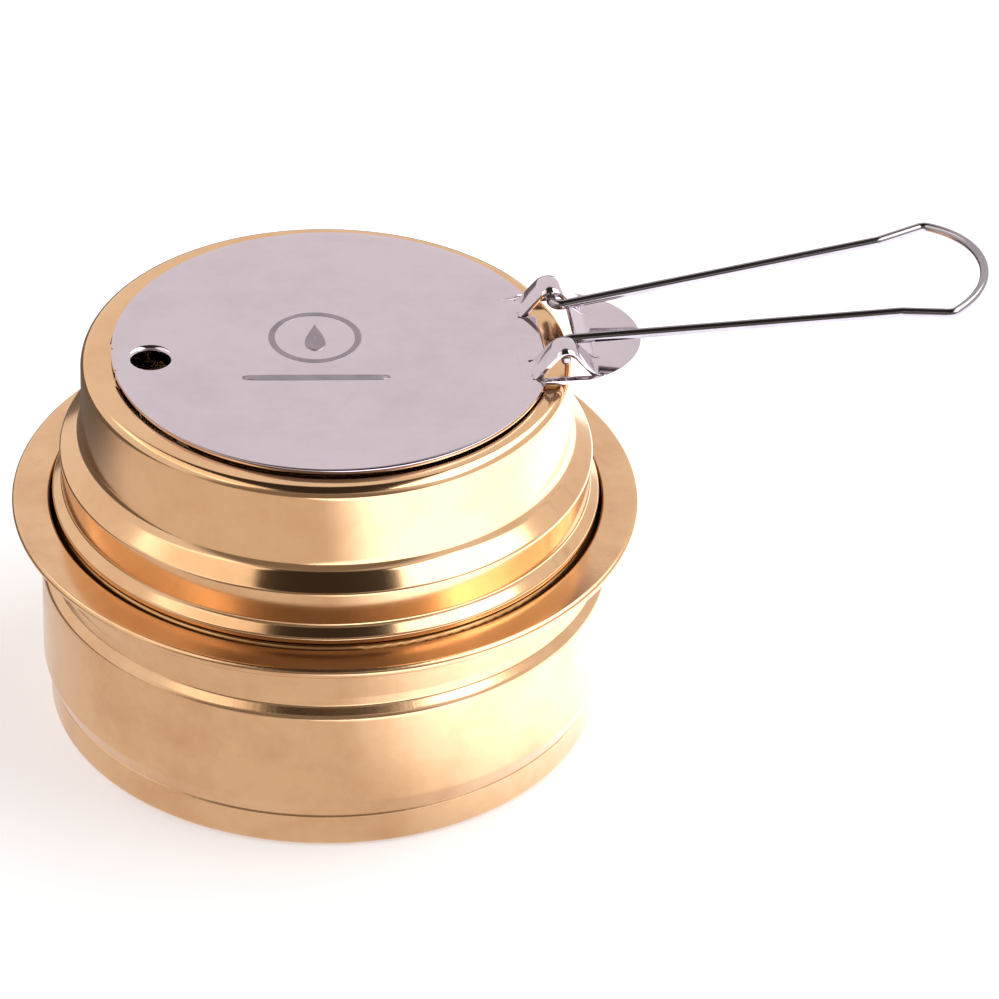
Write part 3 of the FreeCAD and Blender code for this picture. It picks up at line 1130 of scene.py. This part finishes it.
    def disc(self) -> Surface:
        """Disc and drawn collar as loops round the pivot.

        The inner loops follow the collar's bent path from its flare up to the disc, and the
        rest go evenly out to the lid's edge. The edge is the disc's circle with two small
        notches beside the pivot, closed by the slanted lines and the line across the tab.

        Returns:
            Its sheet.
        """
        root = self.root_x()
        slant = self.along[self.along < root - 1e-6]
        slant = np.append(slant, root)
        slant_y = self.tab_edge(slant)
        start_turn = math.atan2(self.half_width, root - self.offset)
        turn = np.linspace(start_turn, 2 * math.pi - start_turn, 300)
        at_notch = self.notch_spread / self.disc_radius
        fine = np.linspace(-0.04, 0.04, 21)
        turn = np.unique(np.concatenate([
            turn, math.pi - at_notch + fine, math.pi + at_notch + fine]))
        notch = sum(np.exp(-(((turn - math.pi - k * at_notch) * self.disc_radius
                              / self.notch_width * 2) ** 2)) for k in (-1, 1))
        radius = self.disc_radius - self.notch_depth * notch
        arc_x, arc_y = self.offset + radius * np.cos(turn), radius * np.sin(turn)
        across = self.across()
        x = np.concatenate([
            np.full(len(across), self.start), slant[1:], arc_x[1:-1], slant[:0:-1]])
        y = np.concatenate([across, slant_y[1:], arc_y[1:-1], -slant_y[:0:-1]])
        outer = np.column_stack([x, y, np.full(len(x), self.top)])
        spoke = np.arctan2(y, x - self.pivot_x)
        collar = rounded_line([
            (self.hole_radius + self.flare_width, self.flare_bottom, 0),
            (self.hole_radius, self.flare_bottom, 0.6),
            (self.hole_radius, self.top, self.draw),
            (self.hole_radius + self.draw, self.top, 0)], closed=False, step=0.4, turn_step=9)
        cos, sin = np.cos(spoke)[None, :], np.sin(spoke)[None, :]
        rings = np.stack([self.pivot_x + collar[:, :1] * cos, collar[:, :1] * sin,
                          np.broadcast_to(collar[:, 1:], (len(collar), len(spoke)))], 2)
        shares = np.linspace(0, 1, 30)[1:] ** 1.2
        out = between_loops(rings[-1], outer, shares)
        return loft(np.concatenate([rings, out]), False, True).upwards()

    def mark(self) -> None:
        """Plain etched mark on the disc: a drop in a ring over a bar, a hair above the polish."""
        turn = np.linspace(0, 2 * math.pi, 96, endpoint=False)
        ring = np.column_stack([np.cos(turn), np.sin(turn)])
        tilt = math.radians(-5.0)
        spin = np.array([[math.cos(tilt), -math.sin(tilt)], [math.sin(tilt), math.cos(tilt)]])
        drop = np.column_stack([1.5 * np.sin(turn) * np.sin(turn / 2) ** 1.5, 2.5 * np.cos(turn)])
        corner = np.abs(ring) ** 0.35 * np.sign(ring)
        shapes = {
            "etched_ring": (5.6 * ring, 4.8 * ring, (0, 3.6)),
            "etched_drop": (1.2 * drop, 0.02 * drop, (0, 3.6)),
            "etched_bar": (corner * [8.8, 0.6], 0.02 * corner * [8.8, 0.6], (0, -5.2)),
        }
        for name, (outer, inner, centre) in shapes.items():
            loops = []
            for share in np.linspace(0, 1, 8):
                plan = (inner + (outer - inner) * share + centre) @ spin.T
                loops.append(np.column_stack([plan[:, 0] - 1.5, plan[:, 1] - 1.0,
                                              np.full(len(turn), self.top + 0.006)]))
            surface = loft(np.array(loops), False, True).upwards()
            Piece(name, "lid", "lid_steel", ETCHED_STEEL).make(
                surface, closed=False, thickness=self.mark_thickness)

    def build(self) -> None:
        """Make the lid from its sheets, and its etched mark."""
        whole = self.disc()
        for sheet in (self.before_window(), self.ridge(), self.nose()):
            whole = whole.joined(sheet)
        for side in (1.0, -1.0):
            whole = whole.joined(self.bridge(side)).joined(self.strip(side))
        Piece("lid_pressed", "lid", "lid_steel", POLISHED_STEEL, ("lid_plate",)).make(
            whole, closed=False, thickness=self.sheet, edge=self.edge)
        self.mark()


@dataclass
class WaveWasher:
    """Spring washer that loads the lid's pivot."""

    inner: float = 2.88
    width: float = 1.5
    strip: float = 0.2
    waves: int = 3
    pivot_x: float = -21.15

    def build(self) -> None:
        """Make the washer: a thin strip whose height goes up and down three times a turn."""
        low, high = corners_of("wave_washer")
        swing = (high[2] - low[2] - self.strip) / 2
        turn = np.linspace(0, 2 * math.pi, 120, endpoint=False)
        middle = (high[2] + low[2]) / 2 + swing * np.cos(self.waves * turn)
        corners = rounded_line([(self.inner, -1, 0.05), (self.inner + self.width, -1, 0.05),
                                (self.inner + self.width, -1 + self.strip, 0.05),
                                (self.inner, -1 + self.strip, 0.05)], closed=True, step=0.3)
        reach, lift = corners[:, :1], corners[:, 1:] + 1 - self.strip / 2
        loops = np.stack([self.pivot_x + reach * np.cos(turn), reach * np.sin(turn),
                          middle[None, :] + lift], 2)
        Piece("wave_washer_strip", "lid", "spring_steel", SPRING_STRIP, ("wave_washer",)).make(
            loft(loops, True, True))


@dataclass
class Handle:
    """Folding loop of round wire whose pins turn under the lid's bridges."""

    radius: float = 0.6
    hinge: tuple[float, float] = (27.7, 51.1)
    rise: float = 6.0
    pin_end: float = 8.3
    arm_root: float = 3.705
    pin_bend: float = 1.2
    arm_run: float = 40.5
    arm_spread: float = 8.05
    kink_bend: float = 2.5
    shoulder_run: float = 46.4
    shoulder_bend: float = 1.3
    bow: float = 11.6
    bow_turn: float = 54.8
    length: float = 51.9

    def build(self) -> None:
        """Make the wire: half its plan path, mirrored, raised about the hinge and swept."""
        turn = math.radians(self.bow_turn)
        bow_corner = self.bow * math.tan(turn / 2)
        half = [
            (0, self.pin_end, 0),
            (0, self.arm_root, self.pin_bend),
            (self.arm_run, self.arm_spread, self.kink_bend),
            (self.shoulder_run, bow_corner + (self.length - self.shoulder_run) / math.tan(turn),
             self.shoulder_bend),
            (self.length, bow_corner, 0.998 * self.bow),
        ]
        corners = half + [(a, -b, r) for a, b, r in half[::-1]]
        plan = rounded_line(corners, closed=False, step=0.8, turn_step=4)
        slope = math.radians(self.rise)
        path = np.column_stack([self.hinge[0] + plan[:, 0] * math.cos(slope), plan[:, 1],
                                self.hinge[1] + plan[:, 0] * math.sin(slope)])
        Piece("handle_wire", "handle", "wire_steel", DRAWN_WIRE, ("wire_handle",)).make(
            swept(path, self.radius))


# ---------------------------------------------------------------- studio


@dataclass
class Studio:
    """Pale floor, soft lights round the object and the camera."""

    yaw: float = 8.2
    elevation: float = 34.0
    roll: float = 1.5
    distance: float = 0.8
    lens: float = 237.6
    aim_right: float = 0.02107
    aim_height: float = 0.02805
    # the table's painted glow of light, its plain colour and its painted shade
    table_sun: float = 2.4
    sun_colour: str = "#E4EAF8"
    table_colour: str = "#E6E0DC"
    table_painted_shade: str = "#6E665E"
    wall_top: float = 48.0
    wall_light: float = 1.0
    wall_colour: str = "#FFFAFC"
    front_colour: str = "#8C847E"
    ceiling_colour: str = "#3A3430"

    def direction(self, azimuth: float, elevation: float) -> Vector:
        """Unit vector towards an azimuth, counted from the camera's side, and an elevation."""
        turn, rise = math.radians(azimuth - self.yaw), math.radians(elevation)
        return Vector((math.sin(turn) * math.cos(rise), -math.cos(turn) * math.cos(rise),
                       math.sin(rise)))

    def camera(self) -> None:
        """Place the camera, looking down at the object from the front."""
        away = self.direction(0, self.elevation)
        right = Vector((math.cos(math.radians(self.yaw)), -math.sin(math.radians(self.yaw)), 0))
        aim = right * self.aim_right + Vector((0, 0, self.aim_height))
        up = away.cross(right)
        roll = math.radians(self.roll)
        rolled_right = right * math.cos(roll) + up * math.sin(roll)
        rolled_up = away.cross(rolled_right)
        data = bpy.data.cameras.new("Camera")
        data.lens, data.sensor_width = self.lens, 36.0
        data.dof.use_dof = False
        camera = bpy.data.objects.new("Camera", data)
        turn = Matrix((rolled_right, rolled_up, away)).transposed().to_4x4()
        camera.matrix_world = Matrix.Translation(aim + away * self.distance) @ turn
        bpy.context.scene.collection.objects.link(camera)
        bpy.context.scene.camera = camera

    def softbox(self, name: str, azimuth: float, elevation: float, size: tuple[float, float],
                radiance: float, colour: str, distance: float = 0.9) -> None:
        """Hang a soft rectangular light that faces the object.

        Args:
            name: the light's name.
            azimuth: counted from the camera's side, in degrees.
            elevation: in degrees.
            size: width and height, in metres.
            radiance: brightness of its face.
            colour: sRGB hex.
            distance: from the object, in metres.
        """
        data = bpy.data.lights.new(name, "AREA")
        data.shape = "RECTANGLE"
        data.size, data.size_y = size
        data.energy = radiance * math.pi * size[0] * size[1]
        data.color = linear(colour)[:3]
        light = bpy.data.objects.new(name, data)
        away = self.direction(azimuth, elevation)
        light.matrix_world = (Matrix.Translation(away * distance + Vector((0.01, 0, 0.03)))
                              @ away.to_track_quat("Z", "Y").to_matrix().to_4x4())
        light.visible_camera = False
        bpy.context.scene.collection.objects.link(light)

    def ground(self, name: str, height: float, colour: str, glow: float) -> bpy.types.Object:
        """Lay a wide plain sheet under the object.

        Args:
            name: the sheet's name.
            height: in metres.
            colour: sRGB hex.
            glow: how much it shines of itself.

        Returns:
            The sheet's object.
        """
        half = 4.0
        mesh = bpy.data.meshes.new(name)
        mesh.from_pydata([(-half, -half, height), (half, -half, height), (half, half, height),
                          (-half, half, height)], [], [(0, 1, 2, 3)])
        material, _, shader = shader_of(name + "_paper")
        shader.inputs["Base Color"].default_value = linear(colour)
        shader.inputs["Roughness"].default_value = 0.9
        shader.inputs["Emission Color"].default_value = (1.0, 1.0, 1.0, 1.0)
        shader.inputs["Emission Strength"].default_value = glow
        mesh.materials.append(material)
        sheet = bpy.data.objects.new(name, mesh)
        bpy.context.scene.collection.objects.link(sheet)
        return sheet

    def shade_table(self, table: bpy.types.Object) -> None:
        """Paint shade into the table's colour behind to the left, and paint a glow of light into it
        by the right window.

        Args:
            table: the sheet that only reflections show.
        """
        tree = table.active_material.node_tree
        shader = tree.nodes["Principled BSDF"]
        place = add(tree, "ShaderNodeTexCoord", {}, {})
        dim = add(tree, "ShaderNodeVectorMath", {"operation": "DOT_PRODUCT"}, {
            0: place.outputs["Object"], 1: self.direction(-150, 0)})
        dimmer = add(tree, "ShaderNodeMapRange", SMOOTH_STEP, {
            "Value": dim.outputs["Value"], "From Min": 0.035, "From Max": 0.075})
        # painted shade: behind to the left the table's colour turns to a dark tone
        paper_with_painted_shade = mixed(tree, dimmer.outputs["Result"], linear(self.table_colour),
                      linear(self.table_painted_shade))
        tree.links.new(paper_with_painted_shade, shader.inputs["Base Color"])
        # painted light: by the right window the table glows, though it is no lamp
        sunny = add(tree, "ShaderNodeVectorMath", {"operation": "DOT_PRODUCT"}, {
            0: place.outputs["Object"], 1: self.direction(82, 0)})
        brighter = add(tree, "ShaderNodeMapRange", SMOOTH_STEP, {
            "Value": sunny.outputs["Value"], "From Min": 0.012, "From Max": 0.058,
            "To Max": self.table_sun})
        tree.links.new(brighter.outputs["Result"], shader.inputs["Emission Strength"])
        shader.inputs["Emission Color"].default_value = linear(self.sun_colour)

    def world(self) -> None:
        """Light the room: bright walls, dimmer in front, and a dim ceiling above them."""
        world = bpy.data.worlds.new("Soft studio")
        world.use_nodes = True
        tree = world.node_tree
        place = add(tree, "ShaderNodeTexCoord", {}, {})
        parts = add(tree, "ShaderNodeSeparateXYZ", {}, {"Vector": place.outputs["Generated"]})
        rise = add(tree, "ShaderNodeMapRange", SMOOTH_STEP, {
            "Value": parts.outputs["Z"], "From Min": math.sin(math.radians(self.wall_top - 4)),
            "From Max": math.sin(math.radians(self.wall_top + 4))})
        facing = add(tree, "ShaderNodeVectorMath", {"operation": "DOT_PRODUCT"}, {
            0: place.outputs["Generated"], 1: self.direction(-5, 0)})
        front = add(tree, "ShaderNodeMapRange", SMOOTH_STEP, {
            "Value": facing.outputs["Value"], "From Min": 0.5, "From Max": 0.78})
        walls = mixed(tree, front.outputs["Result"], linear(self.wall_colour),
                      linear(self.front_colour))
        shade = mixed(tree, rise.outputs["Result"], walls, linear(self.ceiling_colour))
        tree.links.new(shade, tree.nodes["Background"].inputs["Color"])
        tree.nodes["Background"].inputs["Strength"].default_value = self.wall_light
        bpy.context.scene.world = world

    def build(self) -> None:
        """Set up the camera, the world, the floor and the lights."""
        bpy.context.scene.view_settings.view_transform = "Standard"
        self.camera()
        self.world()
        floor = self.ground("floor", -0.00005, "#D8D6D6", 0.45)
        floor.visible_glossy = False
        # a sheet that only reflections show, carrying painted shade and a painted glow of light
        table = self.ground("table", -0.0001, self.table_colour, 0.0)
        self.shade_table(table)
        for seen in ("visible_camera", "visible_diffuse", "visible_shadow"):
            setattr(table, seen, False)
        self.softbox("Right window", 100, 56, (1.15, 0.52), 3.6, "#FFFFFF")
        self.softbox("Left window", -85, 56, (1.1, 0.42), 1.3, "#FFF4EA")
        LOG.info("studio ready")


def main() -> None:
    """Load the frame, build every piece on it and light it."""
    logging.basicConfig(level=logging.INFO, format="%(name)s %(message)s")
    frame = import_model()
    Burner().build(frame["nodes"])
    ScrewCap().build()
    Regulator().build()
    Lid().build()
    WaveWasher().build()
    Handle().build()
    Studio().build()


if __name__ == "__main__":
    main()
